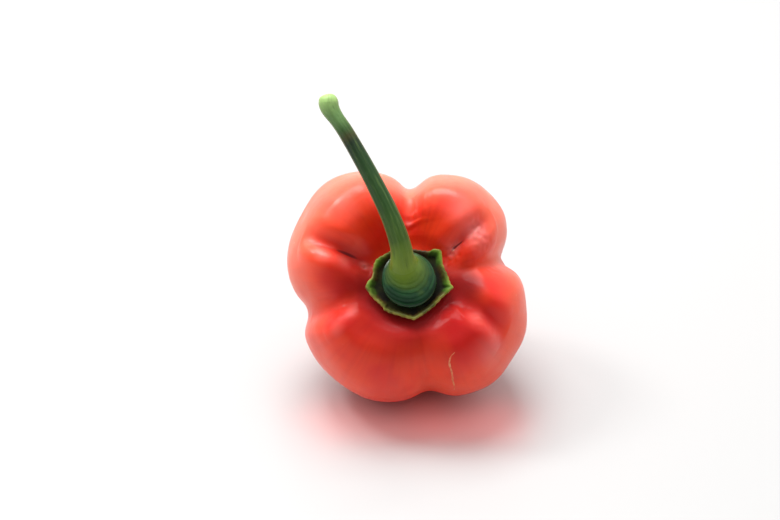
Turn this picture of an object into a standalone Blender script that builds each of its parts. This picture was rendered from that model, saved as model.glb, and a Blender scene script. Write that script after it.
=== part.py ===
"""A squat red chilli pepper of the bonnet kind, picked with its stem and lying on one flank.

It has three pieces: the pod, the calyx that caps it, and the stem with the domed foot that
sits in the calyx. Every piece is shaped in the pod's own frame: the origin is at the middle
of the calyx seat, the pod's axis runs down -Z to its tip, and +Y is the side that ends up
uppermost. An empty then lays the three pieces down on the ground plane, z = 0.
Sizes are in millimetres until a mesh is made, where MM turns them into metres.
"""

import math

import bpy
import numpy as np
from mathutils import Matrix, Vector

MM = 0.001
GAP = 0.3  # clearance between two pieces that touch
SPLINE_STEPS = 24  # points that a smooth curve is first given between two of its own

# The pod. Its section is a smooth union of round lobes, scaled by a profile along the axis.
POD_PROFILE = (  # (distance from the axis, height) from the calyx seat to the tip
    (0.0, 0.0),
    (6.4, 0.0),
    (9.6, 1.1),
    (13.4, 1.3),
    (17.3, -1.6),
    (19.6, -7.4),
    (19.0, -13.4),
    (16.0, -19.4),
    (11.6, -25.2),
    (7.0, -30.4),
    (3.2, -33.6),
    (0.0, -34.6),
)
POD_LOBES = (  # (direction in degrees, distance of the lobe's middle from the axis, radius)
    (55, 11.6, 9.8),
    (130, 12.2, 10.5),
    (155, 11.8, 9.9),
    (219, 9.5, 10.2),
    (249, 9.7, 10.1),
    (316, 11.2, 10.1),
    (341, 10.9, 9.8),
)
LOBE_BLEND = 0.9  # how softly neighbouring lobes run together
MEAN_RADIUS = 19.6
LOBES_GROW = (5.0, 17.0)  # distances along the profile where the lobes start and are full
LOBES_FADE = (24.0, 42.0)  # where they start to fade and have all but gone
LOBES_FADED = 0.95
SHOULDER_RISE = 11.0  # height that a lobe gains at the shoulder, per unit of extra radius
SHOULDER_GROWS = (6.0, 13.0)
SHOULDER_FADES = (14.0, 24.0)
SEAT_TILTS = (6.0, 18.0)  # where the tilt of the calyx seat runs out into the pod
POD_FURROWS = (  # (first and last direction, first and last distance along, half width, depth)
    (88, 86, 9.0, 46.0, 1.8, 0.5),
    (17, 15, 13.5, 44.0, 1.8, 0.5),
    (196, 194, 5.5, 38.0, 1.9, 0.7),
    (281, 283, 13.0, 31.0, 2.2, 0.5),
    (153, 154, 6.5, 19.0, 1.6, 1.3),
    (39, 39, 6.5, 19.0, 1.6, 1.3),
    (-16, -25, 6.5, 18.0, 1.8, 1.2),
)
FURROW_ENDS = 0.7  # how bluntly a furrow starts and ends: 1 is a plain arch
FURROW_LIPS = 0.2  # height of a furrow's raised banks, as a share of its depth
LIP_PLACE, LIP_SPREAD = 2.0, 0.8  # where the banks are and how wide, in half widths
POD_ROWS, POD_COLUMNS = 48, 84

# How the pod lies: its axis rises towards the calyx, and its flank is a little flattened.
AXIS_ELEVATION = 37.5
FLAT_DEPTH = 0.4
GROUND_BLOCK = (120.0, 20.0)  # side and depth of the block that cuts the flat

# The calyx, a thin straight-sided cup whose corners are its teeth, tilted up from the pod's axis.
CALYX_TILT = 15.5
CALYX_TEETH = (  # (direction in degrees, reach from the middle)
    (-6, 7.4),
    (45, 7.9),
    (112, 6.6),
    (153, 6.9),
    (187, 7.4),
    (227, 6.2),
    (277, 6.5),
)
CALYX_FLOOR = 0.5  # thickness of the cup's floor
CALYX_FLOOR_RINGS = (2.5, 4.8)
CALYX_WALL = (  # over the rim from the inside: (distance in from the edge, height from the seat)
    (0.95, 1.05),
    (0.75, 1.45),
    (0.45, 1.70),
    (0.12, 1.65),
    (0.00, 1.35),
    (0.35, 0.85),
    (1.10, 0.30),
)
CALYX_COLUMNS = 72

# The stem: a domed foot, a neck and a tapering stalk that ends in a small knob.
STEM_COURSE = (  # middle line from the foot: right, up the calyx's face, away from the calyx
    (0.0, 0.0, 0.0),
    (0.0, 0.3, 1.2),
    (-0.4, 1.4, 2.0),
    (-1.0, 2.9, 2.8),
    (-1.4, 5.0, 4.5),
    (-2.3, 7.5, 6.3),
    (-3.9, 10.9, 8.2),
    (-6.9, 16.3, 10.5),
    (-10.3, 21.8, 12.8),
    (-12.9, 25.5, 14.2),
    (-13.2, 27.8, 15.0),
)
STEM_THICKNESS = (  # (distance along the stem, radius)
    (0.0, 4.1),
    (0.5, 4.5),
    (1.2, 4.6),
    (1.9, 4.3),
    (2.7, 3.5),
    (3.5, 2.7),
    (4.6, 2.15),
    (7.0, 1.8),
    (10.5, 1.65),
    (14.5, 1.55),
    (21.0, 1.4),
    (28.0, 1.3),
    (31.0, 1.3),
    (33.2, 1.6),
    (34.2, 1.6),
    (34.9, 1.3),
    (35.3, 0.7),
)
STEM_TURN = (2.5, 8.0)  # the part of its length where the stem turns from the calyx's facing
STEM_ROWS, STEM_COLUMNS = 60, 18

# Linear colours, and how rough each piece is.
POD_RED, POD_ROUGHNESS = (0.62, 0.03, 0.02, 1.0), 0.28
CALYX_GREEN, CALYX_ROUGHNESS = (0.20, 0.30, 0.03, 1.0), 0.5
STEM_GREEN, STEM_ROUGHNESS = (0.05, 0.16, 0.03, 1.0), 0.45


def smoothstep(value, low, high):
    """0 below low, 1 above high, and a smooth ramp in between."""
    share = np.clip((value - low) / (high - low), 0.0, 1.0)
    return share * share * (3.0 - 2.0 * share)


def smooth_curve(points, count):
    """count evenly spaced points on a Catmull-Rom curve, and their distances along it."""
    points = np.array(points, float)
    ends = np.vstack([2 * points[0] - points[1], points, 2 * points[-1] - points[-2]])
    share = np.linspace(0.0, 1.0, SPLINE_STEPS, endpoint=False)[:, None]
    spans = []
    for a, b, c, d in zip(ends, ends[1:], ends[2:], ends[3:]):
        spans.append(
            b
            + 0.5 * share * (c - a)
            + share**2 * (a - 2.5 * b + 2 * c - 0.5 * d)
            + share**3 * (1.5 * (b - c) + 0.5 * (d - a))
        )
    dense = np.vstack([*spans, points[-1:]])
    steps = np.linalg.norm(np.diff(dense, axis=0), axis=1)
    distance = np.concatenate([[0.0], np.cumsum(steps)])
    along = np.linspace(0.0, distance[-1], count)
    even = [np.interp(along, distance, column) for column in dense.T]
    return np.stack(even, axis=1), along


def turn_about_x(points, degrees):
    """The points turned about the X axis, by one angle or by an angle for each point."""
    angle = np.radians(degrees)
    y, z = points[..., 1], points[..., 2]
    turned = points.copy()
    turned[..., 1] = y * np.cos(angle) - z * np.sin(angle)
    turned[..., 2] = y * np.sin(angle) + z * np.cos(angle)
    return turned


def surface_normals(grid):
    """The outward normal at each point of a grid of rings, first ring at the top."""
    around = np.roll(grid, -1, axis=1) - np.roll(grid, 1, axis=1)
    down = np.gradient(grid, axis=0)
    normal = np.cross(down, around)
    length = np.linalg.norm(normal, axis=2, keepdims=True)
    return normal / np.maximum(length, 1e-9)


def lobed_share(angle):
    """The radius of the pod's section in each direction, as a share of the mean radius."""
    reach = []
    for direction, distance, radius in POD_LOBES:
        off = angle - math.radians(direction)
        inside = np.maximum(radius**2 - (distance * np.sin(off)) ** 2, 0.0)
        reach.append(distance * np.cos(off) + np.sqrt(inside))
    union = LOBE_BLEND * np.log(np.sum(np.exp(np.array(reach) / LOBE_BLEND), axis=0))
    return union / MEAN_RADIUS


def furrow_depth(angle, along, radius):
    """How far the furrows sink the surface at each point."""
    depth = np.zeros_like(angle)
    for first, last, start, end, half_width, deepest in POD_FURROWS:
        share = np.clip((along - start) / (end - start), 0.0, 1.0)
        middle = np.radians(first + (last - first) * share)
        across = (angle - middle + math.pi) % (2 * math.pi) - math.pi
        u = across * radius / half_width
        lips = FURROW_LIPS * np.exp(-((np.abs(u) - LIP_PLACE) ** 2) / LIP_SPREAD)
        arch = np.sin(math.pi * share) ** FURROW_ENDS
        depth += deepest * arch * (np.exp(-u * u) - lips)
    return depth


def pod_grid(rows, columns):
    """The pod's surface as rings of points, from the calyx seat to the tip."""
    profile, along = smooth_curve(POD_PROFILE, rows)
    angle = np.linspace(0.0, 2 * math.pi, columns, endpoint=False)
    along, angle = np.meshgrid(along, angle, indexing="ij")
    radius, height = profile[:, :1], profile[:, 1:]
    extra = lobed_share(angle) - 1.0
    faded = LOBES_FADED * smoothstep(along, *LOBES_FADE)
    lobing = smoothstep(along, *LOBES_GROW) * (1.0 - faded)
    shoulder = smoothstep(along, *SHOULDER_GROWS) * (1.0 - smoothstep(along, *SHOULDER_FADES))
    radius = radius * (1.0 + lobing * extra)
    grid = np.stack(
        [
            radius * np.cos(angle),
            radius * np.sin(angle),
            height + SHOULDER_RISE * shoulder * extra,
        ],
        axis=2,
    )
    sunk = furrow_depth(angle, along, radius)
    grid -= sunk[..., None] * surface_normals(grid)
    return turn_about_x(grid, -CALYX_TILT * (1.0 - smoothstep(along, *SEAT_TILTS)))


def calyx_reach(angle):
    """The calyx's outline in each direction: straight edges from tooth to tooth."""
    direction = np.radians([tooth[0] for tooth in CALYX_TEETH])
    reach = np.array([tooth[1] for tooth in CALYX_TEETH])
    x, y = reach * np.cos(direction), reach * np.sin(direction)
    edge = np.stack([x, y], axis=1)
    outline = np.full_like(angle, np.inf)
    for start, end in zip(edge, np.roll(edge, -1, axis=0)):
        normal = np.array([end[1] - start[1], start[0] - end[0]])
        facing = np.cos(angle) * normal[0] + np.sin(angle) * normal[1]
        distance = (start @ normal) / np.where(facing > 1e-9, facing, 1e-9)
        outline = np.minimum(outline, distance)
    return outline


def calyx_grid(columns):
    """The calyx's surface as rings of points, from the middle of its floor to its underside."""
    angle = np.linspace(0.0, 2 * math.pi, columns, endpoint=False)
    reach = calyx_reach(angle)
    floor = GAP + CALYX_FLOOR
    middle = np.zeros_like(angle)
    section = [(middle, floor)]
    section += [(middle + ring, floor) for ring in CALYX_FLOOR_RINGS]
    section += [(reach - inwards, height) for inwards, height in CALYX_WALL]
    section += [(middle + CALYX_FLOOR_RINGS[0], GAP), (middle, GAP)]
    rings = []
    for distance, height in section:
        ring = [distance * np.cos(angle), distance * np.sin(angle), middle + height]
        rings.append(np.stack(ring, axis=1))
    return turn_about_x(np.array(rings), -CALYX_TILT)


def stem_grid(rows, columns):
    """The stem's surface as rings of points, from its knob to its foot."""
    course, along = smooth_curve(STEM_COURSE, rows)
    course = turn_about_x(course, -CALYX_TILT)
    course += calyx_normal() * (2 * GAP + CALYX_FLOOR)
    radius = np.interp(along, *np.array(STEM_THICKNESS).T)
    tangent = np.gradient(course, axis=0)
    tangent /= np.linalg.norm(tangent, axis=1, keepdims=True)
    turning = smoothstep(along, *STEM_TURN)[:, None]
    facing = calyx_normal() * (1.0 - turning) + tangent * turning
    facing /= np.linalg.norm(facing, axis=1, keepdims=True)
    side = np.array([1.0, 0.0, 0.0])
    angle = np.linspace(0.0, 2 * math.pi, columns, endpoint=False)[:, None]
    rings = [np.repeat(course[:1], columns, axis=0)]
    for middle, forward, size in zip(course, facing, radius):
        side = side - forward * (side @ forward)
        side /= np.linalg.norm(side)
        other = np.cross(forward, side)
        rings.append(middle + size * (np.cos(angle) * side + np.sin(angle) * other))
    rings.append(np.repeat(course[-1:], columns, axis=0))
    return np.array(rings)[::-1]


def calyx_normal():
    """The direction that the calyx faces, in the pod's frame."""
    tilt = math.radians(CALYX_TILT)
    return np.array([0.0, math.sin(tilt), math.cos(tilt)])


def material(name, colour, roughness):
    made = bpy.data.materials.new(name)
    made.use_nodes = True
    shader = made.node_tree.nodes["Principled BSDF"]
    shader.inputs["Base Color"].default_value = colour
    shader.inputs["Roughness"].default_value = roughness
    shader.inputs["Metallic"].default_value = 0.0
    made.diffuse_color = colour
    return made


def skin(name, grid, surface, parent):
    """A closed mesh object from rings of points whose first and last rings are single points."""
    rings, columns = grid.shape[:2]
    points = [grid[0, 0], *grid[1:-1].reshape(-1, 3), grid[-1, 0]]
    last = len(points) - 1
    faces = []
    for column in range(columns):
        after = (column + 1) % columns
        faces.append((0, 1 + column, 1 + after))
        for ring in range(rings - 3):
            low = 1 + ring * columns
            high = low + columns
            faces.append((low + column, high + column, high + after, low + after))
        low = last - columns
        faces.append((last, low + after, low + column))
    mesh = bpy.data.meshes.new(name)
    mesh.from_pydata([Vector(point) * MM for point in points], [], faces)
    mesh.materials.append(surface)
    mesh.shade_smooth()
    made = bpy.data.objects.new(name, mesh)
    bpy.context.scene.collection.objects.link(made)
    made.parent = parent
    return made


def lay_down(rest, pieces):
    """Turns the pieces onto the pod's flank, and centres their box over the origin."""
    turned = Matrix.Rotation(math.radians(90.0 - AXIS_ELEVATION), 4, "X")
    corners = np.array([turned @ v.co for p in pieces for v in p.data.vertices])
    low, high = corners.min(axis=0), corners.max(axis=0)
    middle = (low + high) / 2
    place = Vector((-middle[0], -middle[1], -low[2] - FLAT_DEPTH * MM))
    rest.matrix_world = Matrix.Translation(place) @ turned


def flatten_on_ground(pod):
    """Cuts the pod off level where it rests, with a block below the ground plane."""
    side, depth = GROUND_BLOCK
    bpy.ops.mesh.primitive_cube_add(size=1.0, location=(0.0, 0.0, -depth / 2 * MM))
    ground = bpy.context.active_object
    ground.name = "ground_cutter"
    ground.scale = (side * MM, side * MM, depth * MM)
    ground.hide_render = True
    ground.display_type = "WIRE"
    cut = pod.modifiers.new("rest_flat", "BOOLEAN")
    cut.operation = "DIFFERENCE"
    cut.solver = "EXACT"
    cut.object = ground


def main():
    for old in list(bpy.data.objects):
        bpy.data.objects.remove(old)
    rest = bpy.data.objects.new("rest_pose", None)
    bpy.context.scene.collection.objects.link(rest)
    red = material("pod_skin", POD_RED, POD_ROUGHNESS)
    pale_green = material("calyx_green", CALYX_GREEN, CALYX_ROUGHNESS)
    dark_green = material("stem_green", STEM_GREEN, STEM_ROUGHNESS)
    pod = skin("pod", pod_grid(POD_ROWS, POD_COLUMNS), red, rest)
    calyx = skin("calyx", calyx_grid(CALYX_COLUMNS), pale_green, rest)
    stem = skin("stem", stem_grid(STEM_ROWS, STEM_COLUMNS), dark_green, rest)
    lay_down(rest, (pod, calyx, stem))
    flatten_on_ground(pod)


main()
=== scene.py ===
"""The looks of the chilli pepper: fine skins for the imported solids, their materials, a pale studio.

Every piece is shaped in the pod's own frame, in millimetres, as the solids are: the origin is
at the middle of the calyx seat, the pod's axis runs down -Z to its tip, and +Y is the side that
ends up uppermost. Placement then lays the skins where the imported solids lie.
"""

import math

import bpy
import numpy as np
from mathutils import Matrix, Vector


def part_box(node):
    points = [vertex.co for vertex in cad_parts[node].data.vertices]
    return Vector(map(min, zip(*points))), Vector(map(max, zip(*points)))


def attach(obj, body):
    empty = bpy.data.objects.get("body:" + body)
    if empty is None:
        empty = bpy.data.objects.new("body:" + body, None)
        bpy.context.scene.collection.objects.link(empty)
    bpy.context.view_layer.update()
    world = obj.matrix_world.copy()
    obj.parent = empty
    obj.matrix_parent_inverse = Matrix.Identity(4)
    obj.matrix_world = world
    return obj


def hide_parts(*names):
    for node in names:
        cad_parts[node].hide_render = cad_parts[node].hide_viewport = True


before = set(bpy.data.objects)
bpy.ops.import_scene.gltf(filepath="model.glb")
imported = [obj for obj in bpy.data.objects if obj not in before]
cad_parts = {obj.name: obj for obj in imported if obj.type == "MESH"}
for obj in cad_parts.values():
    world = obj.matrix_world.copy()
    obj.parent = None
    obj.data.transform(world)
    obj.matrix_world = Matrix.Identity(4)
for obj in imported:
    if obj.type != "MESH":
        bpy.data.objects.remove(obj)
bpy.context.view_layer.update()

MM = 0.001
SKIN_SHRINK = 0.996  # keeps the fine skins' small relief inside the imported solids' box
SPLINE_STEPS = 24
WAVE_COUNT = 28
TINY = 1e-9  # stands in for a length of zero where one is divided by

# The pod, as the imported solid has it.
POD_PROFILE = (  # (distance from the axis, height) from the calyx seat to the tip
    (0.0, 0.0),
    (6.4, 0.0),
    (9.6, 1.1),
    (13.4, 1.3),
    (17.3, -1.6),
    (19.6, -7.4),
    (19.0, -13.4),
    (16.0, -19.4),
    (11.6, -25.2),
    (7.0, -30.4),
    (3.2, -33.6),
    (0.0, -34.6),
)
POD_LOBES = (  # (direction in degrees, distance of the lobe's middle from the axis, radius)
    (55, 11.6, 9.8),
    (130, 12.2, 10.5),
    (155, 11.8, 9.9),
    (219, 9.5, 10.2),
    (249, 9.7, 10.1),
    (316, 11.2, 10.1),
    (341, 10.9, 9.8),
)
LOBE_BLEND = 0.9  # how softly the lobes join
MEAN_RADIUS = 19.6
# Pairs are distances along the profile where a change starts and ends.
LOBES_GROW = (5.0, 17.0)
LOBES_FADE = (24.0, 42.0)
LOBES_FADED = 0.95
SHOULDER_RISE = 11.0
SHOULDER_GROWS = (6.0, 13.0)
SHOULDER_FADES = (14.0, 24.0)
SEAT_TILTS = (6.0, 18.0)
FURROW_ENDS = 0.7  # how bluntly a furrow starts and ends: 1 is a plain arch
FURROW_LIPS = 0.2  # height of a furrow's raised banks, as a share of its depth
LIP_PLACE, LIP_SPREAD = 2.0, 0.8  # where the banks are and how wide, in half widths
FURROW_FULL = 1.3  # the depth at which a furrow's painted shade is full
POD_FURROWS = (  # (first and last direction, first and last distance along, half width, depth)
    (88, 86, 9.0, 46.0, 1.8, 0.5),
    (17, 15, 13.5, 44.0, 1.8, 0.5),
    (196, 194, 5.5, 38.0, 1.9, 0.7),
    (281, 283, 13.0, 31.0, 2.2, 0.5),
    (153, 154, 6.5, 19.0, 1.6, 1.3),
    (39, 39, 6.5, 19.0, 1.6, 1.3),
    (-16, -25, 6.5, 18.0, 1.8, 1.2),
)
AXIS_ELEVATION = 37.5
CALYX_TILT = 15.5

# What the fine skin adds to the pod: creases, and ridges, which have negative depths; patches of
# crinkled skin with painted highlights, some of them only a painted highlight, and some painted shade
# in deeper red, which have negative paleness; and waves that leave the skin a little uneven.
CREASE_LIPS = 0.15
CRACK_WIDTH = 0.5  # a crease with a smaller half width is a crack, with painted shade in it
CRACK_FULL = 0.16  # the depth at which a crack's painted shade is darkest
POD_CREASES = (  # (first and last direction, first and last distance along, half width, depth)
    (152, 155, 8.4, 13.2, 0.30, 0.16),
    (162, 161, 9.5, 19.5, 1.7, -0.50),
    (40, 38, 8.4, 12.0, 0.30, 0.16),
    (33, 36, 9.0, 19.5, 1.5, -0.50),
    (-26, -35, 7.4, 12.0, 0.35, -0.14),
    (-29, -36, 10.0, 18.0, 1.6, -0.35),
    (86, 87, 12.0, 17.5, 0.30, -0.16),
    (79, 80, 11.6, 17.5, 0.35, -0.16),
    (92, 90, 11.6, 18.5, 1.3, 0.35),
    (96, 78, 10.4, 12.0, 1.6, -0.22),
    (19, 15, 22.0, 29.0, 0.40, -0.16),
    (207, 212, 9.0, 17.0, 1.6, -0.40),
    (193, 196, 12.0, 22.0, 1.2, 0.15),
)
POD_CRINKLES = (  # (direction, distance along, reach, height, paleness: painted highlight if positive, painted shade if negative)
    (39, 9.3, 1.5, 0.13, 0.7),
    (36, 14.5, 2.6, 0.10, 0.8),
    (155, 7.8, 0.9, 0.13, 0.6),
    (161, 11.0, 1.4, 0.03, 0.5),
    (161, 14.2, 1.5, 0.0, 0.6),
    (156, 17.4, 1.3, 0.0, 0.5),
    (12, 16.5, 1.2, 0.06, 0.3),
    (333, 12.0, 1.8, 0.04, 0.45),
    (328, 15.5, 2.0, 0.02, 0.20),
    (206, 11.0, 1.5, 0.03, 0.5),
    (212, 14.2, 1.5, 0.0, 0.5),
    (90, 11.6, 0.9, 0.0, 0.6),
    (87, 14.0, 0.8, 0.0, 0.5),
    (56, 14.5, 3.2, 0.0, 0.55),
    (129, 15.5, 3.5, 0.0, 0.40),
    (320, 17.5, 3.5, 0.0, 0.55),
    (2, 10.5, 3.2, 0.0, -0.65),
    (262, 12.0, 5.0, 0.0, -0.20),
)
CRINKLE_LENGTH = 0.95
CRINKLE_SEED = 11  # for the first patch; each later one has the next number
UNEVEN_WAVES = ((9.0, 0.12, 1), (3.2, 0.01, 2))  # (wavelength, height, seed)
UNEVEN_STARTS, UNEVEN_ENDS = (5.5, 9.0), (56.0, 60.0)
POD_STRAND_RADIUS = 20.0  # of the cylinder round which the streaks are drawn
SCRATCH_COURSE = (  # (direction, distance along) of a healed scratch in the skin
    (304.0, 13.2),
    (300.0, 13.6),
    (297.3, 14.6),
    (296.6, 16.0),
    (295.2, 18.0),
    (294.6, 20.0),
    (293.6, 22.6),
)
SCRATCH_WIDTH, SCRATCH_HEIGHT = 0.20, 0.09
SCRATCH_ENDS = 0.6  # how bluntly it starts and ends: 1 is a plain arch
SCRATCH_UNEVEN = 0.25  # how much it thins and swells, as a share of its size
SCRATCH_SWELLS = (31, 12)  # how often, by two waves that are multiplied
SCRATCH_ROWS, SCRATCH_COLUMNS = 90, 10
POD_ROWS_SHOULDER, POD_ROWS_FLANK, POD_COLUMNS = 104, 68, 560
SHOULDER_END = 26.0  # the distance along where the rows become wider

# The calyx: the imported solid's cup, with a ragged rim and a more detailed wall.
GAP = 0.3
CALYX_OUTLINE = (  # (direction in degrees, reach from the middle), round the ragged rim
    (0, 6.85),
    (-6, 7.35),
    (-12, 6.80),
    (-27, 5.95),
    (-52, 5.70),
    (-74, 6.05),
    (-82, 6.35),
    (-90, 6.10),
    (-106, 5.85),
    (-125, 6.05),
    (-131, 6.20),
    (-138, 6.00),
    (-152, 6.30),
    (-168, 6.95),
    (-175, 7.25),
    (-182, 6.85),
    (-193, 6.25),
    (-207, 6.65),
    (-217, 6.85),
    (-230, 6.55),
    (-245, 6.45),
    (-280, 6.10),
    (-300, 6.55),
    (-305, 7.35),
    (-313, 7.80),
    (-319, 7.30),
    (-324, 6.85),
    (-337, 6.45),
)
CALYX_FLOOR = 0.5
CALYX_FLOOR_RINGS = (1.5, 3.0, 4.5)
# Places for its colours run from 0 at the floor's middle, past 1 at the rim, to the last below.
FLOOR_PLACE, UNDERSIDE_PLACE, LAST_PLACE = 0.1, 1.8, 2.0
CALYX_WALL = (  # (distance in from the edge, height from the seat, place for its colours)
    (1.45, 0.84, 0.25),
    (1.15, 1.02, 0.40),
    (0.85, 1.36, 0.55),
    (0.58, 1.60, 0.70),
    (0.30, 1.68, 0.85),
    (0.08, 1.60, 0.95),
    (0.00, 1.38, 1.05),
    (0.30, 0.85, 1.30),
    (1.10, 0.30, 1.60),
)
CALYX_WALL_CLEAR = 4.8  # the cup's inner wall keeps this far from the middle
CALYX_TEETH_REACH = (6.2, 7.2)  # where the rim starts to be a tooth and is one
CALYX_BAND = (0.85, 1.20)  # width of the wall's section between the teeth and at them, as a share
CALYX_NOTCH_DROP = 0.22
RIM_WAVES, RIM_WAVE_HEIGHT, RIM_WAVE_TURN = 9, 0.06, 2.0
RAGGED_NOTCHES, RAGGED_DEPTH = 41, 0.035
RAGGED_SHIFTS, RAGGED_SHIFT = 5, 2.0  # how often and how far the notches crowd together
CALYX_SHADED_SIDE = (76.0, 20.0)  # the direction where the rim's inner wall has painted shade in dark brown, and how wide that is
SHADED_SIDE_EDGE = 4  # how sharply the painted shade ends
CALYX_STEPS, CALYX_COLUMNS = 5, 420

# The stem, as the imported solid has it, with fine rings round its foot and ribs along it.
STEM_COURSE = (  # middle line from the foot: right, up the calyx's face, away from the calyx
    (0.0, 0.0, 0.0),
    (0.0, 0.3, 1.2),
    (-0.4, 1.4, 2.0),
    (-1.0, 2.9, 2.8),
    (-1.4, 5.0, 4.5),
    (-2.3, 7.5, 6.3),
    (-3.9, 10.9, 8.2),
    (-6.9, 16.3, 10.5),
    (-10.3, 21.8, 12.8),
    (-12.9, 25.5, 14.2),
    (-13.2, 27.8, 15.0),
)
STEM_THICKNESS = (  # (distance along the stem, radius)
    (0.0, 4.1),
    (0.5, 4.5),
    (1.2, 4.6),
    (1.9, 4.3),
    (2.7, 3.5),
    (3.5, 2.7),
    (4.6, 2.15),
    (7.0, 1.8),
    (10.5, 1.65),
    (14.5, 1.55),
    (21.0, 1.4),
    (28.0, 1.3),
    (31.0, 1.3),
    (33.2, 1.6),
    (34.2, 1.6),
    (34.9, 1.3),
    (35.3, 0.7),
)
STEM_TURN = (2.5, 8.0)
KNOB_ROUNDS, KNOB_RADIUS = 34.0, 1.6
RING_SPACING, RING_HEIGHT = 0.42, 0.055
RINGS_START, RINGS_END = (1.4, 2.0), (3.0, 3.8)
RIB_COUNT, RIB_HEIGHT = 5, 0.03
RIB_TURN, RIB_TWIST = 0.4, 0.03  # in radians, and in radians to a millimetre
FINE_RIB_COUNT, FINE_RIB_HEIGHT = 13, 0.012
RIBS_START = (4.0, 8.0)
RIBBED_SIZE = 0.985  # the stalk's mean size under its ribs, as a share
STEM_STRAND_RADIUS = 1.5
DOME_END, DOME_ROWS = 4.4, 90
STEM_ROWS, STEM_COLUMNS = 300, 80

# The camera, and where it puts the middle of the calyx seat in its view.
CAMERA_ELEVATION = 34.0
CAMERA_DISTANCE = 400.0
VIEW_WIDTH = 129.0
SEAT_IN_VIEW = (3.14, -4.3)
SENSOR_WIDTH = 36.0

# The materials. A colour is screen values from 0 to 255. A mask is where the value that it
# follows starts and stops to change it, and what the mask is at those two ends. A grain is how
# many of a noise's cells go to a metre, or to a millimetre of a strand. A bump's height is in
# metres.
COARSE_DETAIL, FINE_DETAIL = 2.0, 3.0
SMOOTH_NOISE, ROUGH_NOISE = 0.5, 0.6
WHOLE = (0.0, 1.0)

POD_RED, POD_ORANGE = (230, 28, 18), (248, 64, 24)
POD_PATCH_GRAIN, POD_PATCHES = 90.0, ((0.38, 0.62), WHOLE)
POD_STREAK = (206, 24, 22)
POD_STREAK_STRETCH, POD_STREAK_GRAIN = (1.0, 1.0, 0.10), 0.8
POD_STREAKS = ((0.40, 0.80), (0.0, 0.25))
POD_LAYERS = (  # (colour, its masks, each with the value that it follows), each over the last
    (  # painted highlight and glow: the pale skin round the lobes' crests, lit from above and behind, fading towards the tip and on the low side
        (250, 138, 112),
        (
            ("along", (11.0, 24.0), (0.0, 0.8)),
            ("along", (21.0, 33.0), (1.0, 0.1)),
            ("low_side", WHOLE, (1.0, 0.40)),
        ),
    ),
    # painted shade: darker red in the furrows, deepest where they sink most
    ((196, 14, 20), (("furrow", (0.15, 0.9), (0.0, 0.5)),)),
    (  # painted shade: the deep red below the calyx, on the low side that faces away from the light
        (146, 8, 14),
        (("along", (7.0, 17.0), (0.95, 0.0)), ("low_side", (0.1, 0.5), (0.12, 1.0))),
    ),
    # painted highlights on the pale crinkle patches
    ((242, 150, 142), (("pale", (0.1, 1.0), (0.0, 0.55)),)),
    # painted shade: deeper red where the patches' paleness is negative
    ((104, 4, 10), (("pale", (-0.1, -0.8), (0.0, 0.8)),)),
    # painted shade: dark red in the narrow cracks
    ((104, 8, 16), (("crease", (0.35, 0.9), (0.0, 0.8)),)),
)
POD_FLECK = (250, 190, 165)
POD_FLECK_GRAIN, POD_FLECK_DOTS = 230.0, ((0.02, 0.06), (0.4, 0.0))
POD_FLECK_PATCHES = ((0.52, 0.62), WHOLE)
POD_WAX_GRAIN, POD_WAX = 260.0, ((0.3, 0.7), (0.28, 0.40))
POD_DULL_SIDE, POD_DULL_ALONG = ((0.25, 0.5), WHOLE), ((9.5, 15.0), (0.60, 0.0))
POD_BUMPS = ((700.0, 0.00005), (2600.0, 0.000012))  # (grain, height)

CORK_DARK, CORK_LIGHT = (226, 104, 64), (244, 168, 118)
CORK_GRAIN, CORK_BUMP = 1400.0, 0.00005
CORK_PATCHES, CORK_ROUGHNESS = ((0.35, 0.65), WHOLE), ((0.3, 0.7), (0.5, 0.65))

CALYX_NOTCH_COLOURS = (  # (half the place on the wall, colour) between the teeth; near-black to brown at the floor and low wall is painted shade in the deep groove
    (0.08, (20, 17, 10)),
    (0.16, (36, 26, 12)),
    (0.25, (66, 48, 18)),
    (0.35, (82, 82, 26)),
    (0.43, (108, 112, 38)),
    (0.50, (160, 134, 66)),
    (0.60, (74, 96, 34)),
)
CALYX_TOOTH_COLOURS = (  # (half the place on the wall, colour) at the teeth; near-black to dark green at the floor and low wall is painted shade in the deep groove
    (0.08, (18, 18, 10)),
    (0.17, (30, 36, 12)),
    (0.25, (54, 82, 20)),
    (0.35, (76, 108, 26)),
    (0.43, (100, 132, 36)),
    (0.50, (152, 144, 70)),
    (0.60, (84, 116, 40)),
)
CALYX_TOOTH_MASK = ((0.1, 0.8), WHOLE)
CALYX_BLOTCH_GRAIN, CALYX_BLOTCHES = 650.0, (WHOLE, (-0.12, 0.12))
# painted shade: dark brown on one side of the rim's inner wall
CALYX_SIDE_SHADE, CALYX_SIDE_SHADE_MASK = (50, 24, 16), (WHOLE, (0.0, 0.85))
CALYX_STAIN, CALYX_STAIN_GRAIN = (44, 46, 12), 420.0
CALYX_STAINS = ((0.48, 0.66), (0.0, 0.65))
CALYX_ROUGHNESS = ((0.3, 0.8), (0.90, 0.40))
CALYX_BLOTCH_BUMP, CALYX_FINE_BUMP = 0.00012, 0.00005
GREEN_BUMP_GRAIN = 1800.0

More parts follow.
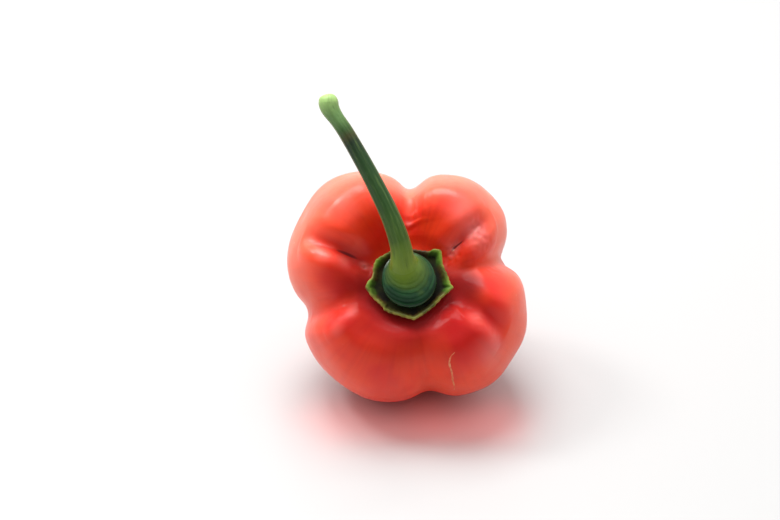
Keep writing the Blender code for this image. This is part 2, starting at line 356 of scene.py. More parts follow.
STEM_COLOURS = (  # (share of the way from the foot to the knob, colour)
    (0.00, (8, 27, 15)),
    (0.040, (12, 41, 23)),
    (0.062, (20, 58, 30)),
    (0.102, (82, 106, 34)),
    (0.14, (116, 140, 46)),
    (0.24, (68, 98, 34)),
    (0.42, (46, 80, 34)),
    (0.64, (40, 70, 34)),
    (0.725, (32, 50, 32)),
    (0.765, (66, 66, 36)),
    (0.80, (62, 92, 48)),
    (0.88, (110, 148, 88)),
    (0.96, (160, 194, 116)),
)
STEM_COLOURS_END = 36.0  # the distance along the stem where the last share would be 1
STEM_WANDER_GRAIN, STEM_WANDER = 300.0, ((0.2, 0.8), (-0.45, 0.45))
STEM_FIBRE_STRETCH, STEM_FIBRE_GRAIN = (1.0, 1.0, 0.12), 2.2
STEM_STALK = ((3.0, 6.0), WHOLE)
STEM_LIGHT, STEM_LIGHT_FIBRES = (112, 140, 72), ((0.48, 0.78), (0.0, 0.40))
STEM_DARK, STEM_DARK_FIBRES = (28, 52, 26), ((0.42, 0.24), (0.0, 0.55))
# painted highlights: lighter arcs along the fine rings of the stem's foot
STEM_RING_HIGHLIGHT, STEM_RING_HIGHLIGHTS = (44, 96, 50), ((0.46, 0.70), (0.0, 0.45))
STEM_ARC_STRETCH, STEM_ARC_GRAIN = (0.5, 0.5, 4.5), 1.0
STEM_FOOT = ((2.6, 3.6), (1.0, 0.0))
# painted sheen: pale tan along the stalk's edges, where it is seen edge-on
STEM_EDGE_SHEEN, STEM_EDGE_SHEEN_MASK, STEM_SHEEN_BLEND = (176, 170, 120), ((0.25, 0.95), (0.0, 0.55)), 0.35
STEM_ROUGHNESS = (WHOLE, (0.20, 0.44))
STEM_FIBRE_BUMP, STEM_FINE_BUMP = 0.00012, 0.00003

FLOOR_HALF = 3.0  # half the floor's side, in metres
FLOOR_GREY = (0.48, 0.478, 0.475, 1.0)
FLOOR_GRAIN, FLOOR_ROUGHNESS = 3.0, ((0.3, 0.7), (0.42, 0.5))

# The light, in metres and watts: a soft box behind and above, a small lamp at the upper left,
# and white surroundings that are dim in front.
SOFTBOX_PLACE = (-0.07, 0.18, 0.54)
SOFTBOX_SIZE = (0.32, 0.32)
SOFTBOX_POWER = 3.4
KICKER_PLACE = (-0.30, 0.12, 0.42)
KICKER_SIZE = (0.12, 0.12)
KICKER_POWER = 0.9
LIGHTS_AIM = (0.0, 0.0, 0.02)
BRIGHT_SIDE = (0.0, 0.55, 0.83)
WORLD_RAMP = (-0.55, 0.95)  # how far towards the bright side the world starts and stops to brighten
WORLD_DIM, WORLD_BRIGHT = 0.07, 1.18
WHITE = (1.0, 1.0, 1.0)
# The red light that a thin-walled pod lets through to the ground in front of it.
GLOW_PLACE = (0.001, -0.0150, 0.0050)
GLOW_SIZE = (0.038, 0.010)
GLOW_POWER = 0.0013
GLOW_RED = (1.0, 0.03, 0.02)


def smoothstep(value, low, high):
    """0 below low, 1 above high, and a smooth ramp in between."""
    share = np.clip((value - low) / (high - low), 0.0, 1.0)
    return share * share * (3.0 - 2.0 * share)


def spline(points, steps=SPLINE_STEPS):
    """Points on a Catmull-Rom curve through the points given, with so many steps to a span."""
    points = np.array(points, float)
    ends = [2 * points[0] - points[1], *points, 2 * points[-1] - points[-2]]
    share = np.linspace(0.0, 1.0, steps, endpoint=False)
    share = share.reshape(-1, *(1,) * (points.ndim - 1))
    spans = []
    for a, b, c, d in zip(ends, ends[1:], ends[2:], ends[3:]):
        spans.append(
            b
            + 0.5 * share * (c - a)
            + share**2 * (a - 2.5 * b + 2 * c - 0.5 * d)
            + share**3 * (1.5 * (b - c) + 0.5 * (d - a))
        )
    return np.concatenate([*spans, points[-1:]])


def measured(points):
    """A smooth curve through the points, and how far along it each of its points is."""
    curve = spline(points)
    steps = np.linalg.norm(np.diff(curve, axis=0), axis=1)
    return curve, np.concatenate([[0.0], np.cumsum(steps)])


def read_curve(curve, distance, at):
    """The curve's points at the distances asked for."""
    return np.stack([np.interp(at, distance, column) for column in curve.T], axis=-1)


def turn_about_x(points, degrees):
    """The points turned about the X axis, by one angle or by an angle for each point."""
    angle = np.radians(degrees)
    y, z = points[..., 1], points[..., 2]
    turned = points.copy()
    turned[..., 1] = y * np.cos(angle) - z * np.sin(angle)
    turned[..., 2] = y * np.sin(angle) + z * np.cos(angle)
    return turned


def surface_normals(grid):
    """The outward normal at each point of a grid of rings, first ring at the top."""
    around = np.roll(grid, -1, axis=1) - np.roll(grid, 1, axis=1)
    down = np.gradient(grid, axis=0)
    normal = np.cross(down, around)
    length = np.linalg.norm(normal, axis=2, keepdims=True)
    return normal / np.maximum(length, TINY)


def waves(points, wavelength, seed):
    """A soft random relief between about -1 and 1, from plane waves of one wavelength."""
    random = np.random.default_rng(seed)
    direction = random.normal(size=(WAVE_COUNT, 3))
    direction /= np.linalg.norm(direction, axis=1, keepdims=True)
    phase = random.uniform(0.0, 2 * math.pi, WAVE_COUNT)
    total = np.zeros(points.shape[:-1])
    for way, start in zip(direction, phase):
        total += np.sin(points @ way * (2 * math.pi / wavelength) + start)
    return total / math.sqrt(WAVE_COUNT)


def lobed_share(angle):
    """The radius of the pod's section in each direction, as a share of the mean radius."""
    reach = []
    for direction, distance, radius in POD_LOBES:
        off = angle - math.radians(direction)
        inside = np.maximum(radius**2 - (distance * np.sin(off)) ** 2, 0.0)
        reach.append(distance * np.cos(off) + np.sqrt(inside))
    union = LOBE_BLEND * np.log(np.sum(np.exp(np.array(reach) / LOBE_BLEND), axis=0))
    return union / MEAN_RADIUS


def angle_between(angle, direction):
    """The turn from a direction to each angle, from -pi to pi."""
    return (angle - direction + math.pi) % (2 * math.pi) - math.pi


def valleys(table, angle, along, radius, lip):
    """How far the valleys of a table sink the surface at each point; lip raises their banks."""
    depth = np.zeros_like(angle)
    for first, last, start, end, half_width, deepest in table:
        share = np.clip((along - start) / (end - start), 0.0, 1.0)
        middle = np.radians(first + (last - first) * share)
        u = angle_between(angle, middle) * radius / half_width
        lips = lip * np.exp(-((np.abs(u) - LIP_PLACE) ** 2) / LIP_SPREAD)
        depth += deepest * np.sin(math.pi * share) ** FURROW_ENDS * (np.exp(-u * u) - lips)
    return depth


def crinkled(grid, angle, along, radius):
    """The height of the crinkled patches at each point, and their painted light: painted highlight
    where positive, painted shade where negative.
    """
    height, pale = np.zeros_like(angle), np.zeros_like(angle)
    for seed, patch in enumerate(POD_CRINKLES, start=CRINKLE_SEED):
        direction, distance, reach, most, painted_amount = patch
        across = angle_between(angle, math.radians(direction)) * radius
        near = np.exp(-(across**2 + (along - distance) ** 2) / reach**2)
        height += most * near * waves(grid, CRINKLE_LENGTH, seed)
        pale += painted_amount * near
    return height, pale


def pod_stations(length):
    """Distances along the pod's profile: close together on the shoulder, wider on the flank."""
    shoulder = np.linspace(0.0, SHOULDER_END, POD_ROWS_SHOULDER, endpoint=False)
    flank = np.linspace(SHOULDER_END, length, POD_ROWS_FLANK)
    return np.concatenate([shoulder, flank])


def pod_form(angle, along, profile_radius, height):
    """The pod's lobed form before its furrows: its points, and how far each is from the axis."""
    extra = lobed_share(angle) - 1.0
    faded = LOBES_FADED * smoothstep(along, *LOBES_FADE)
    lobing = smoothstep(along, *LOBES_GROW) * (1.0 - faded)
    shoulder = smoothstep(along, *SHOULDER_GROWS) * (1.0 - smoothstep(along, *SHOULDER_FADES))
    radius = profile_radius * (1.0 + lobing * extra)
    x, y = radius * np.cos(angle), radius * np.sin(angle)
    return np.stack([x, y, height + SHOULDER_RISE * shoulder * extra], axis=2), radius


def strands(angle, along, radius):
    """A place for each point on a cylinder, on which fibres and streaks run straight."""
    return np.stack([radius * np.cos(angle), radius * np.sin(angle), along], axis=2)


def pod_skin_grid():
    """The pod's fine surface as rings of points, with a value at each point for its colours."""
    profile, reached = measured(POD_PROFILE)
    stations = pod_stations(reached[-1])
    angle = np.linspace(0.0, 2 * math.pi, POD_COLUMNS, endpoint=False)
    along, angle = np.meshgrid(stations, angle, indexing="ij")
    grid, radius = pod_form(angle, along, *read_curve(profile, reached, stations).T[..., None])
    sunk = valleys(POD_FURROWS, angle, along, radius, FURROW_LIPS)
    grid -= sunk[..., None] * surface_normals(grid)
    narrow = [row for row in POD_CREASES if row[4] < CRACK_WIDTH]
    cracks = valleys(narrow, angle, along, radius, CREASE_LIPS)
    crinkles, pale = crinkled(grid, angle, along, radius)
    relief = valleys(POD_CREASES, angle, along, radius, CREASE_LIPS) - crinkles
    clear_of_ends = smoothstep(along, *UNEVEN_STARTS) * (1.0 - smoothstep(along, *UNEVEN_ENDS))
    for wavelength, most, seed in UNEVEN_WAVES:
        relief += clear_of_ends * most * waves(grid, wavelength, seed)
    grid -= relief[..., None] * surface_normals(grid)
    values = {
        "furrow": np.clip(sunk / FURROW_FULL, 0.0, 1.0),
        "crease": np.clip(cracks / CRACK_FULL, 0.0, 1.0),
        "pale": pale,
        "along": along,
        "low_side": 0.5 - 0.5 * np.sin(angle),
        "strand": strands(angle, along, POD_STRAND_RADIUS),
    }
    tilt = -CALYX_TILT * (1.0 - smoothstep(along, *SEAT_TILTS))
    return turn_about_x(grid, tilt), values


def scratch_skin_grid(pod):
    """A healed scratch as rings of points, half sunk in the pod's fine surface."""
    reached = measured(POD_PROFILE)[1]
    course = spline(SCRATCH_COURSE)
    even = np.linspace(0, len(course) - 1, SCRATCH_ROWS)
    direction, along = read_curve(course, np.arange(len(course)), even).T
    stations = pod_stations(reached[-1])
    row = np.interp(along, stations, np.arange(len(stations)))
    column = direction / 360.0 * POD_COLUMNS
    middle = between_points(pod, row, column)
    outward = between_points(surface_normals(pod), row, column)
    forward = np.gradient(middle, axis=0)
    forward /= np.linalg.norm(forward, axis=1, keepdims=True)
    side = np.cross(outward, forward)
    share = np.linspace(0.0, 1.0, SCRATCH_ROWS)
    swells = np.sin(share * SCRATCH_SWELLS[0]) * np.sin(share * SCRATCH_SWELLS[1])
    size = np.sin(math.pi * share) ** SCRATCH_ENDS * (1.0 - SCRATCH_UNEVEN * (1.0 - swells))
    angle = np.linspace(0.0, 2 * math.pi, SCRATCH_COLUMNS, endpoint=False)[None, :, None]
    ring = SCRATCH_WIDTH * np.cos(angle) * side[:, None]
    ring = ring + SCRATCH_HEIGHT * np.sin(angle) * outward[:, None]
    grid = (middle[:, None] + size[:, None, None] * ring)[::-1]
    station = np.repeat(along[::-1, None], SCRATCH_COLUMNS, axis=1)
    return grid, {"station": station}


def between_points(grid, row, column):
    """Values of a grid of rings between its points, at fractional rows and columns."""
    low_row, low_column = row.astype(int), column.astype(int)
    down, across = (row - low_row)[:, None], (column - low_column)[:, None]
    after = (low_column + 1) % grid.shape[1]
    upper = grid[low_row, low_column] * (1 - across) + grid[low_row, after] * across
    lower = grid[low_row + 1, low_column] * (1 - across) + grid[low_row + 1, after] * across
    return upper * (1 - down) + lower * down


def calyx_reach(angle):
    """The rim's outline in each direction, smooth through its table and finely ragged."""
    table = np.array(CALYX_OUTLINE, float)
    curve = spline(np.vstack([table + (360.0, 0.0), table]))[::-1]
    shift = RAGGED_SHIFT * np.sin(angle * RAGGED_SHIFTS)
    ragged = RAGGED_DEPTH * np.sin(angle * RAGGED_NOTCHES + shift)
    return np.interp(np.degrees(angle), *curve.T) + ragged


def calyx_normal():
    """The direction that the calyx faces, in the pod's frame."""
    tilt = math.radians(CALYX_TILT)
    return np.array([0.0, math.sin(tilt), math.cos(tilt)])


def calyx_skin_grid():
    """The calyx's fine surface as rings of points, from the middle of its floor downwards."""
    angle = np.linspace(0.0, 2 * math.pi, CALYX_COLUMNS, endpoint=False)
    reach = calyx_reach(angle)
    tooth = smoothstep(reach, *CALYX_TEETH_REACH)
    floor = GAP + CALYX_FLOOR
    band = np.interp(tooth, (0.0, 1.0), CALYX_BAND)
    rim_waves = RIM_WAVE_HEIGHT * np.sin(angle * RIM_WAVES + RIM_WAVE_TURN)
    drop = CALYX_NOTCH_DROP * (1.0 - tooth) + rim_waves
    same = np.ones_like(angle)
    section = [(same * 0.0, same * floor, same * 0.0)]
    section += [(same * ring, same * floor, same * FLOOR_PLACE) for ring in CALYX_FLOOR_RINGS]
    for inwards, height, place in CALYX_WALL:
        distance = np.maximum(reach - inwards * band, CALYX_WALL_CLEAR)
        lowered = height - drop * np.clip((height - floor) / floor, 0.0, 1.0)
        section.append((distance, lowered, same * place))
    for ring in CALYX_FLOOR_RINGS[::-1]:
        section.append((same * ring, same * GAP, same * UNDERSIDE_PLACE))
    section.append((same * 0.0, same * GAP, same * LAST_PLACE))
    fine = spline([np.stack(corner) for corner in section], CALYX_STEPS)
    distance, height, place = fine.transpose(1, 0, 2)
    grid = np.stack([distance * np.cos(angle), distance * np.sin(angle), height], axis=2)
    middle, spread = np.radians(CALYX_SHADED_SIDE)
    side_shade = np.exp(-((angle_between(angle, middle) / spread) ** SHADED_SIDE_EDGE))
    every_ring = np.ones((len(grid), 1))
    values = {"place": place, "tooth": every_ring * tooth, "side_shade": every_ring * side_shade}
    return turn_about_x(grid, -CALYX_TILT), values


def stem_sizes(stations):
    """The stem's radius at each distance along it, with a round end to its knob."""
    thickness = spline(STEM_THICKNESS)
    radius = np.interp(stations, *thickness.T)
    into_end = np.clip((stations - KNOB_ROUNDS) / (stations[-1] - KNOB_ROUNDS), 0.0, 1.0)
    ringed = smoothstep(stations, *RINGS_START) * (1.0 - smoothstep(stations, *RINGS_END))
    rings = RING_HEIGHT * ringed * np.sin(stations * 2 * math.pi / RING_SPACING)
    return np.where(into_end > 0.0, KNOB_RADIUS * np.sqrt(1.0 - into_end**2), radius + rings)


def stem_ribs(angle, station):
    """How much the ribs and the fine ribs raise the stalk in each direction, as a share."""
    ribs = RIB_HEIGHT * np.cos(angle * RIB_COUNT + RIB_TURN + RIB_TWIST * station)
    ribs += FINE_RIB_HEIGHT * np.cos(angle * FINE_RIB_COUNT)
    return ribs * smoothstep(station, *RIBS_START)


def stem_skin_grid():
    """The stem's fine surface as rings of points, from its knob to its foot."""
    curve, reached = measured(STEM_COURSE)
    dome = np.linspace(0.0, DOME_END, DOME_ROWS, endpoint=False)
    along = np.concatenate([dome, np.linspace(DOME_END, reached[-1], STEM_ROWS)])
    course = turn_about_x(read_curve(curve, reached, along), -CALYX_TILT)
    course += calyx_normal() * (2 * GAP + CALYX_FLOOR)
    tangent = np.gradient(course, along, axis=0)
    tangent /= np.linalg.norm(tangent, axis=1, keepdims=True)
    turning = smoothstep(along, *STEM_TURN)[:, None]
    facing = calyx_normal() * (1.0 - turning) + tangent * turning
    facing /= np.linalg.norm(facing, axis=1, keepdims=True)
    angle = np.linspace(0.0, 2 * math.pi, STEM_COLUMNS, endpoint=False)
    side = np.array([1.0, 0.0, 0.0])
    rings = []
    for middle, forward, size, station in zip(course, facing, stem_sizes(along), along):
        side = side - forward * (side @ forward)
        side /= np.linalg.norm(side)
        other = np.cross(forward, side)
        ribbed = size * (RIBBED_SIZE + stem_ribs(angle, station))
        way = np.cos(angle)[:, None] * side + np.sin(angle)[:, None] * other
        rings.append(middle + ribbed[:, None] * way)
    first = np.repeat(course[:1], STEM_COLUMNS, axis=0)
    grid = np.array([first, *rings])[::-1]
    station = np.concatenate([along[:1], along])[::-1]
    station = np.repeat(station[:, None], STEM_COLUMNS, axis=1)
    around = np.repeat(angle[None, :], len(grid), axis=0)
    return grid, {"station": station, "strand": strands(around, station, STEM_STRAND_RADIUS)}


def ring_values(grid):
    """One value, or one row of values, for each point of a skin made from such a grid."""
    middle = grid[1:-1].reshape(-1, *grid.shape[2:])
    return np.concatenate([grid[:1, 0], middle, grid[-1:, 0]])


def skin(name, grid, values, material):
    """A closed mesh object from rings of points whose first and last rings are single points."""
    rings, columns = grid.shape[:2]
    points = ring_values(grid)
    last = len(points) - 1
    column = np.arange(columns)
    after = (column + 1) % columns
    faces = [(0, 1 + a, 1 + b) for a, b in zip(column, after)]
    for ring in range(rings - 3):
        low = 1 + ring * columns
        high = low + columns
        quads = np.stack([low + column, high + column, high + after, low + after], axis=1)
        faces.extend(map(tuple, quads.tolist()))
    low = last - columns
    faces.extend((last, low + b, low + a) for a, b in zip(column, after))
    mesh = bpy.data.meshes.new(name)
    mesh.from_pydata(points.tolist(), [], [tuple(int(i) for i in face) for face in faces])
    for value_name, value in values.items():
        flat = ring_values(value)
        kind, field = ("FLOAT", "value") if flat.ndim == 1 else ("FLOAT_VECTOR", "vector")
        layer = mesh.attributes.new(value_name, kind, "POINT")
        layer.data.foreach_set(field, flat.astype(np.float32).ravel())
    mesh.materials.append(material)
    mesh.shade_smooth()
    made = bpy.data.objects.new(name, mesh)
    bpy.context.scene.collection.objects.link(made)
    return made


def resting_place(pod_points):
    """The matrix from the pod's frame, in millimetres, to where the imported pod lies."""
    turned = Matrix.Rotation(math.radians(90.0 - AXIS_ELEVATION), 4, "X")
    turned = turned @ Matrix.Scale(MM * SKIN_SHRINK, 4)
    laid = pod_points.reshape(-1, 3) @ np.array(turned)[:3, :3].T
    low, high = laid.min(axis=0), laid.max(axis=0)
    cad_low, cad_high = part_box("pod")
    middle = (np.array(cad_low) + np.array(cad_high)) / 2 - (low + high) / 2
    place = Vector((middle[0], middle[1], cad_high.z - high[2]))
    return Matrix.Translation(place) @ turned


def settle(piece, place):
    """Moves a skin to its resting place, and keeps it above the ground plane."""
    piece.data.transform(place)
    for vertex in piece.data.vertices:
        vertex.co.z = max(vertex.co.z, 0.0)
    piece.data.update()


class Paint:
    """A material under construction, with short calls for the nodes that it uses."""

    mix_colours, mix_result = (6, 7), 2  # the sockets for colours among a mix node's many

    def __init__(self, name):
        self.material = bpy.data.materials.new(name)
        self.material.use_nodes = True
        self.tree = self.material.node_tree
        self.shader = self.tree.nodes["Principled BSDF"]

    def node(self, kind, inputs, **settings):
        """A new node with its settings and what goes into its inputs."""
        made = self.tree.nodes.new(kind)
        for key, value in settings.items():
            setattr(made, key, value)
        for key, value in inputs.items():
            self.feed(made.inputs[key], value)
        return made

    def feed(self, socket, value):
        """Links another node's output to a socket, or gives it a fixed value."""
        if isinstance(value, bpy.types.NodeSocket):
            self.tree.links.new(value, socket)
        else:
            socket.default_value = value

    def set(self, **inputs):
        """Feeds the shader's inputs, which are named with an underscore for each space."""
        for key, value in inputs.items():
            self.feed(self.shader.inputs[key.replace("_", " ")], value)

    def value(self, name):
        """A number that the mesh holds at each of its points."""
        return self.node("ShaderNodeAttribute", {}, attribute_name=name).outputs["Fac"]

    def vector(self, name):
        """A place that the mesh holds at each of its points."""
        return self.node("ShaderNodeAttribute", {}, attribute_name=name).outputs["Vector"]

    def place(self):
        return self.node("ShaderNodeTexCoord", {}).outputs["Object"]

    def stretch(self, vector, scale):
        inputs = {"Vector": vector, "Scale": scale}
        return self.node("ShaderNodeMapping", inputs).outputs["Vector"]

    def noise(self, vector, grain, detail=COARSE_DETAIL, roughness=SMOOTH_NOISE):
        inputs = {"Vector": vector, "Scale": grain, "Detail": detail, "Roughness": roughness}
        return self.node("ShaderNodeTexNoise", inputs).outputs["Fac"]

    def cells(self, vector, grain):
        """The distance to the nearest of many scattered points."""
        inputs = {"Vector": vector, "Scale": grain}
        return self.node("ShaderNodeTexVoronoi", inputs).outputs["Distance"]

    def maths(self, operation, first, second):
        inputs = {0: first, 1: second}
        return self.node("ShaderNodeMath", inputs, operation=operation).outputs[0]

    def mask(self, value, span, ends):
        """A smooth change from one end to the other, as the value crosses its span."""
        inputs = {0: value, 1: span[0], 2: span[1], 3: ends[0], 4: ends[1]}
        made = self.node("ShaderNodeMapRange", inputs, interpolation_type="SMOOTHSTEP")
        return made.outputs[0]

    def mix(self, share, first, second):
        """Two colours mixed, each of them a node's output or screen values."""
        made = self.node("ShaderNodeMix", {}, data_type="RGBA")
        self.feed(made.inputs["Factor"], share)
        for index, shade in zip(self.mix_colours, (first, second)):
            self.feed(made.inputs[index], colour(shade) if isinstance(shade, tuple) else shade)
        return made.outputs[self.mix_result]

    def layer(self, base, shade, *masks):
        """A colour over a base colour, as strong as the masks' product."""
        share = masks[0]
        for mask in masks[1:]:
            share = self.maths("MULTIPLY", share, mask)
        return self.mix(share, base, shade)

    def ramp(self, value, stops):
        """The colour at a value, between stops of (position, screen values)."""
        made = self.node("ShaderNodeValToRGB", {"Fac": value})
        elements = made.color_ramp.elements
        while len(elements) < len(stops):
            elements.new(1.0)
        for element, (position, shade) in zip(elements, stops):
            element.position = position
            element.color = colour(shade)
        return made.outputs["Color"]

    def bump(self, height, distance, below=None):
        """A surface direction tilted by a relief, over another relief if one is given."""
        inputs = {"Height": height, "Distance": distance, "Strength": 1.0}
        if below is not None:
            inputs["Normal"] = below
        return self.node("ShaderNodeBump", inputs).outputs["Normal"]


def colour(screen):
    """A linear colour from screen values from 0 to 255, by the sRGB curve."""
    parts = []
    for part in screen:
        share = part / 255
        parts.append(share / 12.92 if share <= 0.04045 else ((share + 0.055) / 1.055) ** 2.4)
    return (*parts, 1.0)


def pod_red(paint, place):
    """The pod's colour: orange-red with streaks, its layers of painted highlight and painted shade,
    and rare pale flecks.
    """
    patches = paint.mask(paint.noise(place, POD_PATCH_GRAIN), *POD_PATCHES)
    red = paint.mix(patches, POD_RED, POD_ORANGE)
    strand = paint.stretch(paint.vector("strand"), POD_STREAK_STRETCH)
    streaks = paint.mask(paint.noise(strand, POD_STREAK_GRAIN), *POD_STREAKS)
    red = paint.layer(red, POD_STREAK, streaks)
    for shade, masks in POD_LAYERS:
        made = [paint.mask(paint.value(name), *mask) for name, *mask in masks]
        red = paint.layer(red, shade, *made)
    rare = paint.mask(paint.noise(place, POD_PATCH_GRAIN, 0.0), *POD_FLECK_PATCHES)
    dots = paint.mask(paint.cells(place, POD_FLECK_GRAIN), *POD_FLECK_DOTS)
    return paint.layer(red, POD_FLECK, rare, dots)


def pod_paint():
    """Waxy red skin with fine pores, dull in the hollow below the calyx."""
    paint = Paint("pod_skin")
    place = paint.place()
    wax = paint.mask(paint.noise(place, POD_WAX_GRAIN, FINE_DETAIL), *POD_WAX)
    dull_side = paint.mask(paint.value("low_side"), *POD_DULL_SIDE)
    dull_along = paint.mask(paint.value("along"), *POD_DULL_ALONG)
    dull = paint.maths("MULTIPLY", dull_side, dull_along)
    normal = None
    for grain, height in POD_BUMPS:
        normal = paint.bump(paint.noise(place, grain), height, normal)
    paint.set(
        Base_Color=pod_red(paint, place),
        Roughness=paint.maths("ADD", wax, dull),
        Specular_IOR_Level=0.22,
        Subsurface_Weight=0.55,
        Subsurface_Radius=(1.0, 0.12, 0.06),
        Subsurface_Scale=0.0035,
        Coat_Weight=0.10,
        Coat_Roughness=0.18,
        Normal=normal,
    )
    return paint.material


def scratch_paint():
    """Dry tan cork in lighter and darker patches."""
    paint = Paint("healed_skin")
    cork = paint.noise(paint.place(), CORK_GRAIN, FINE_DETAIL)
    paint.set(
        Base_Color=paint.mix(paint.mask(cork, *CORK_PATCHES), CORK_DARK, CORK_LIGHT),
        Roughness=paint.mask(cork, *CORK_ROUGHNESS),
        Normal=paint.bump(cork, CORK_BUMP),
    )
    return paint.material


def calyx_paint():
    """Near-black floor and brown walls, painted shade in the deep groove; bright green teeth and a
    dry tan edge.
    """
    paint = Paint("calyx_green")
    place = paint.place()
    blotches = paint.noise(place, CALYX_BLOTCH_GRAIN, FINE_DETAIL, ROUGH_NOISE)
    moved = paint.maths("ADD", paint.value("place"), paint.mask(blotches, *CALYX_BLOTCHES))
    half = paint.maths("MULTIPLY", moved, 0.5)
    notch = paint.ramp(half, CALYX_NOTCH_COLOURS)
    tooth = paint.ramp(half, CALYX_TOOTH_COLOURS)
    green = paint.mix(paint.mask(paint.value("tooth"), *CALYX_TOOTH_MASK), notch, tooth)
    # painted shade on one side of the rim's inner wall
    side_shade = paint.mask(paint.value("side_shade"), *CALYX_SIDE_SHADE_MASK)
    green = paint.layer(green, CALYX_SIDE_SHADE, side_shade)
    stains = paint.noise(place, CALYX_STAIN_GRAIN, FINE_DETAIL, ROUGH_NOISE)
    green = paint.layer(green, CALYX_STAIN, paint.mask(stains, *CALYX_STAINS))
    normal = paint.bump(blotches, CALYX_BLOTCH_BUMP)
    fine = paint.noise(place, GREEN_BUMP_GRAIN, FINE_DETAIL)
    paint.set(
        Base_Color=green,
        Roughness=paint.mask(moved, *CALYX_ROUGHNESS),
        Specular_IOR_Level=0.18,
        Subsurface_Weight=0.10,
        Subsurface_Radius=(0.4, 0.6, 0.15),
        Subsurface_Scale=0.0006,
        Normal=paint.bump(fine, CALYX_FINE_BUMP, normal),
    )
    return paint.material


def stem_green(paint, place, stalk, fibres):
    """The stem's colour: its run of greens, with fibres on the stalk, painted highlights in arcs on
    the foot, and a painted sheen along the stalk's edges.
    """
    wander = paint.mask(paint.noise(place, STEM_WANDER_GRAIN), *STEM_WANDER)
    station = paint.maths("ADD", paint.value("station"), wander)
    green = paint.ramp(paint.maths("DIVIDE", station, STEM_COLOURS_END), STEM_COLOURS)
    green = paint.layer(green, STEM_LIGHT, stalk, paint.mask(fibres, *STEM_LIGHT_FIBRES))
    green = paint.layer(green, STEM_DARK, stalk, paint.mask(fibres, *STEM_DARK_FIBRES))
    # painted highlights in arcs along the foot's fine rings
    strand = paint.stretch(paint.vector("strand"), STEM_ARC_STRETCH)
    ring_highlights = paint.mask(paint.noise(strand, STEM_ARC_GRAIN, FINE_DETAIL), *STEM_RING_HIGHLIGHTS)
    foot = paint.mask(paint.value("station"), *STEM_FOOT)
    green = paint.layer(green, STEM_RING_HIGHLIGHT, foot, ring_highlights)
    # painted sheen along the stalk's edges, where its surface turns away from the view
    facing = paint.node("ShaderNodeLayerWeight", {"Blend": STEM_SHEEN_BLEND}).outputs["Facing"]
    return paint.layer(green, STEM_EDGE_SHEEN, stalk, paint.mask(facing, *STEM_EDGE_SHEEN_MASK))


def stem_paint():
    """Green stalk, pale at its knob, brown-scarred below it, very dark at the glossy dome."""
    paint = Paint("stem_green")
    place = paint.place()
    stalk = paint.mask(paint.value("station"), *STEM_STALK)
    strand = paint.stretch(paint.vector("strand"), STEM_FIBRE_STRETCH)
    fibres = paint.noise(strand, STEM_FIBRE_GRAIN, FINE_DETAIL, ROUGH_NOISE)
    normal = paint.bump(paint.maths("MULTIPLY", stalk, fibres), STEM_FIBRE_BUMP)
    fine = paint.noise(place, GREEN_BUMP_GRAIN, FINE_DETAIL)
    paint.set(
        Base_Color=stem_green(paint, place, stalk, fibres),
        Roughness=paint.mask(stalk, *STEM_ROUGHNESS),
        Specular_IOR_Level=0.28,
        Subsurface_Weight=0.10,
        Subsurface_Radius=(0.4, 0.7, 0.2),
        Subsurface_Scale=0.0006,
        Normal=paint.bump(fine, STEM_FINE_BUMP, normal),
    )
    return paint.material


def floor_paint():
    """Plain pale surface with a faint satin sheen."""
    paint = Paint("studio_white")
    paint.set(
        Base_Color=FLOOR_GREY,
        Roughness=paint.mask(paint.noise(paint.place(), FLOOR_GRAIN), *FLOOR_ROUGHNESS),
    )
    return paint.material


def make_pepper():
    """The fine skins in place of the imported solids, and the scratch on the pod."""
    pod_points, pod_values = pod_skin_grid()
    place = resting_place(pod_points)
    pieces = (
        (skin("pod_surface", pod_points, pod_values, pod_paint()), "pod", "pod_skin"),
        (skin("calyx_surface", *calyx_skin_grid(), calyx_paint()), "calyx", "calyx_green"),
        (skin("stem_surface", *stem_skin_grid(), stem_paint()), "stem", "stem_green"),
    )
    for piece, node, slot in pieces:
        settle(piece, place)
        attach(piece, "root")
        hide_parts(node)
    scratch = skin("healed_scratch", *scratch_skin_grid(pod_points), scratch_paint())
    settle(scratch, place)
    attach(scratch, "root")
    return place


def make_floor():
    """A wide level floor under the pepper."""
    half = FLOOR_HALF
    mesh = bpy.data.meshes.new("floor")
    corners = [(-half, -half, 0), (half, -half, 0), (half, half, 0), (-half, half, 0)]
    mesh.from_pydata(corners, [], [(0, 1, 2, 3)])
    mesh.materials.append(floor_paint())
    floor = bpy.data.objects.new("floor", mesh)
    bpy.context.scene.collection.objects.link(floor)


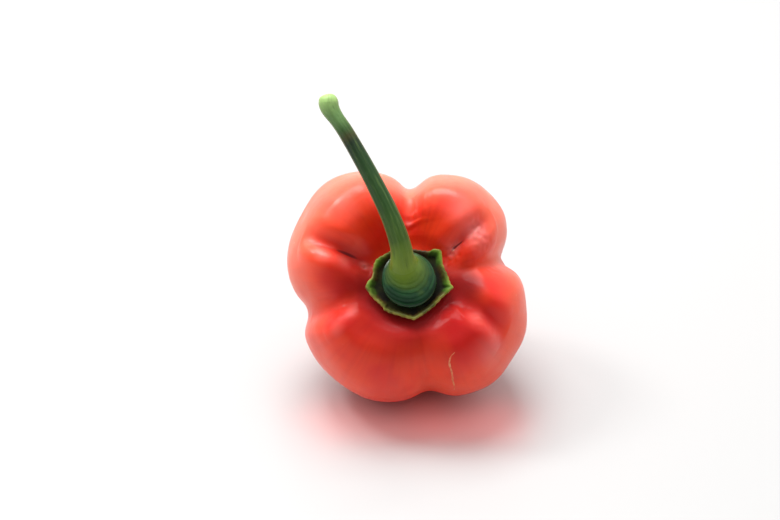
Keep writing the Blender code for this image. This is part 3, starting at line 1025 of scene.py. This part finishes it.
def make_camera(place):
    """A long lens, looking slightly down on the pepper's calyx."""
    elevation = math.radians(CAMERA_ELEVATION)
    right = Vector((1.0, 0.0, 0.0))
    up = Vector((0.0, math.sin(elevation), math.cos(elevation)))
    back = Vector((0.0, -math.cos(elevation), math.sin(elevation)))
    seat = place @ Vector((0.0, 0.0, 0.0))
    aim = seat - (right * SEAT_IN_VIEW[0] + up * SEAT_IN_VIEW[1]) * MM
    data = bpy.data.cameras.new("camera")
    data.sensor_width = SENSOR_WIDTH
    data.lens = SENSOR_WIDTH * CAMERA_DISTANCE / VIEW_WIDTH
    camera = bpy.data.objects.new("camera", data)
    camera.location = aim + back * CAMERA_DISTANCE * MM
    camera.rotation_euler = (math.radians(90.0 - CAMERA_ELEVATION), 0.0, 0.0)
    bpy.context.scene.collection.objects.link(camera)
    bpy.context.scene.camera = camera


def make_light(name, place, size, power, target, tint=WHITE):
    """A soft rectangular light that faces a target."""
    data = bpy.data.lights.new(name, "AREA")
    data.shape = "RECTANGLE"
    data.size, data.size_y = size
    data.energy = power
    data.color = tint
    light = bpy.data.objects.new(name, data)
    light.location = place
    facing = Vector(target) - Vector(place)
    light.rotation_euler = facing.to_track_quat("-Z", "Y").to_euler()
    bpy.context.scene.collection.objects.link(light)


def make_world():
    """White surroundings, bright behind the pepper and above it, dim in front of it."""
    world = bpy.data.worlds.new("studio")
    world.use_nodes = True
    bpy.context.scene.world = world
    tree = world.node_tree
    direction = tree.nodes.new("ShaderNodeTexCoord").outputs["Generated"]
    facing = tree.nodes.new("ShaderNodeVectorMath")
    facing.operation = "DOT_PRODUCT"
    facing.inputs[1].default_value = BRIGHT_SIDE
    strength = tree.nodes.new("ShaderNodeMapRange")
    strength.interpolation_type = "SMOOTHSTEP"
    for socket, number in zip(strength.inputs[1:5], (*WORLD_RAMP, WORLD_DIM, WORLD_BRIGHT)):
        socket.default_value = number
    background = tree.nodes["Background"]
    background.inputs["Color"].default_value = (*WHITE, 1.0)
    tree.links.new(direction, facing.inputs[0])
    tree.links.new(facing.outputs["Value"], strength.inputs["Value"])
    tree.links.new(strength.outputs["Result"], background.inputs["Strength"])
    bpy.context.scene.view_settings.view_transform = "Standard"


resting = make_pepper()
make_floor()
make_camera(resting)
make_world()
make_light("softbox", SOFTBOX_PLACE, SOFTBOX_SIZE, SOFTBOX_POWER, LIGHTS_AIM)
make_light("kicker", KICKER_PLACE, KICKER_SIZE, KICKER_POWER, LIGHTS_AIM)
below_glow = (GLOW_PLACE[0], GLOW_PLACE[1], 0.0)
make_light("through_glow", GLOW_PLACE, GLOW_SIZE, GLOW_POWER, below_glow, GLOW_RED)
